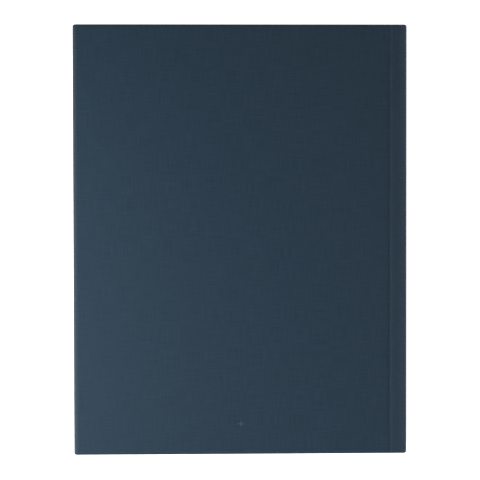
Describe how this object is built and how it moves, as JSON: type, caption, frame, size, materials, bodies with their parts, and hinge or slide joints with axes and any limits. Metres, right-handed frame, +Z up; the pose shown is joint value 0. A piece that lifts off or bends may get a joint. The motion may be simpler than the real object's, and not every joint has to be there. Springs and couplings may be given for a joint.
{
  "type": "pilot logbook",
  "caption": "Hardback pilot logbook: cloth-covered boards and spine on sewn signatures, with hinged covers, flyleaves and turning leaves.",
  "frame": {"origin": "middle of the closed book's footprint, on the surface that it lies on, front cover down", "axes": "+X to the spine, +Y to the head, +Z up through the thickness, out of the back cover"},
  "size_m": [0.222, 0.286, 0.0205],
  "materials": {
    "book_cloth": "navy woven book cloth, slight sheen",
    "grey_board": "grey binder's board, matte",
    "endpaper": "heavy uncoated endpaper",
    "page_paper": "uncoated cream writing paper",
    "liner_paper": "brown kraft liner",
    "mull": "open starched cotton mull",
    "headband": "striped woven headband",
    "thread": "waxed linen thread"
  },
  "bodies": {
    "book_block": {"signature_01": "page_paper", "signature_02": "page_paper", "signature_03": "page_paper", "signature_04": "page_paper", "signature_05": "page_paper", "signature_06": "page_paper", "signature_07": "page_paper", "signature_08": "page_paper", "signature_09": "page_paper", "signature_10": "page_paper", "signature_11": "page_paper", "signature_12": "page_paper", "spine_board": "grey_board", "spine_cloth": "book_cloth", "back_joint_cloth": "book_cloth", "front_joint_cloth": "book_cloth", "spine_liner": "liner_paper", "spine_mull": "mull", "head_band": "headband", "tail_band": "headband", "sewing_thread": "thread", "back_endpaper_fold": "endpaper", "front_endpaper_fold": "endpaper"},
    "back_cover": {"back_board": "grey_board", "back_cover_cloth": "book_cloth", "back_pastedown": "endpaper"},
    "front_cover": {"front_board": "grey_board", "front_cover_cloth": "book_cloth", "front_pastedown": "endpaper"},
    "back_flyleaf": {"back_flyleaf": "endpaper"},
    "front_flyleaf": {"front_flyleaf": "endpaper"},
    "turning_leaf_1": {"turning_leaf_1": "page_paper"},
    "turning_leaf_2": {"turning_leaf_2": "page_paper"},
    "turning_leaf_3": {"turning_leaf_3": "page_paper"},
    "turning_leaf_4": {"turning_leaf_4": "page_paper"},
    "turning_leaf_5": {"turning_leaf_5": "page_paper"},
    "turning_leaf_6": {"turning_leaf_6": "page_paper"},
    "turning_leaf_7": {"turning_leaf_7": "page_paper"},
    "turning_leaf_8": {"turning_leaf_8": "page_paper"}
  },
  "joints": [
    {"name": "back_cover_hinge", "type": "hinge", "parent": "book_block", "child": "back_cover", "pos_m": [0.107, 0, 0.01717], "axis": [0, 1, 0], "range_deg": [0, 179.5]},
    {"name": "front_cover_hinge", "type": "hinge", "parent": "book_block", "child": "front_cover", "pos_m": [0.107, 0, 0.00335], "axis": [0, -1, 0], "range_deg": [0, 179.5]},
    {"name": "back_flyleaf_turn", "type": "hinge", "parent": "book_block", "child": "back_flyleaf", "pos_m": [0.107, 0, 0.01717], "axis": [0, 1, 0], "range_deg": [0, 174.4]},
    {"name": "turning_leaf_1_turn", "type": "hinge", "parent": "book_block", "child": "turning_leaf_1", "pos_m": [0.107, 0, 0.01717], "axis": [0, 1, 0], "range_deg": [0, 169]},
    {"name": "turning_leaf_2_turn", "type": "hinge", "parent": "book_block", "child": "turning_leaf_2", "pos_m": [0.107, 0, 0.01717], "axis": [0, 1, 0], "range_deg": [0, 163.6]},
    {"name": "turning_leaf_3_turn", "type": "hinge", "parent": "book_block", "child": "turning_leaf_3", "pos_m": [0.107, 0, 0.01717], "axis": [0, 1, 0], "range_deg": [0, 157.4]},
    {"name": "turning_leaf_4_turn", "type": "hinge", "parent": "book_block", "child": "turning_leaf_4", "pos_m": [0.107, 0, 0.01717], "axis": [0, 1, 0], "range_deg": [0, 151.1]},
    {"name": "turning_leaf_5_turn", "type": "hinge", "parent": "book_block", "child": "turning_leaf_5", "pos_m": [0.107, 0, 0.01717], "axis": [0, 1, 0], "range_deg": [0, 18.2]},
    {"name": "turning_leaf_6_turn", "type": "hinge", "parent": "book_block", "child": "turning_leaf_6", "pos_m": [0.107, 0, 0.01717], "axis": [0, 1, 0], "range_deg": [0, 13.8]},
    {"name": "turning_leaf_7_turn", "type": "hinge", "parent": "book_block", "child": "turning_leaf_7", "pos_m": [0.107, 0, 0.01717], "axis": [0, 1, 0], "range_deg": [0, 9.3]},
    {"name": "turning_leaf_8_turn", "type": "hinge", "parent": "book_block", "child": "turning_leaf_8", "pos_m": [0.107, 0, 0.01717], "axis": [0, 1, 0], "range_deg": [0, 4.8]},
    {"name": "front_flyleaf_turn", "type": "hinge", "parent": "book_block", "child": "front_flyleaf", "pos_m": [0.107, 0, 0.00335], "axis": [0, -1, 0], "range_deg": [0, 179.8]}
  ],
  "couplings": [
    {"joint": "back_flyleaf_turn", "follows": "back_cover_hinge", "ratio": 0.97},
    {"joint": "turning_leaf_1_turn", "follows": "back_cover_hinge", "ratio": 0.94},
    {"joint": "turning_leaf_2_turn", "follows": "back_cover_hinge", "ratio": 0.91},
    {"joint": "turning_leaf_3_turn", "follows": "back_cover_hinge", "ratio": 0.875},
    {"joint": "turning_leaf_4_turn", "follows": "back_cover_hinge", "ratio": 0.84},
    {"joint": "turning_leaf_5_turn", "follows": "back_cover_hinge", "ratio": 0.1},
    {"joint": "turning_leaf_6_turn", "follows": "back_cover_hinge", "ratio": 0.075},
    {"joint": "turning_leaf_7_turn", "follows": "back_cover_hinge", "ratio": 0.05},
    {"joint": "turning_leaf_8_turn", "follows": "back_cover_hinge", "ratio": 0.025},
    {"joint": "front_flyleaf_turn", "follows": "front_cover_hinge", "ratio": 1}
  ]
}
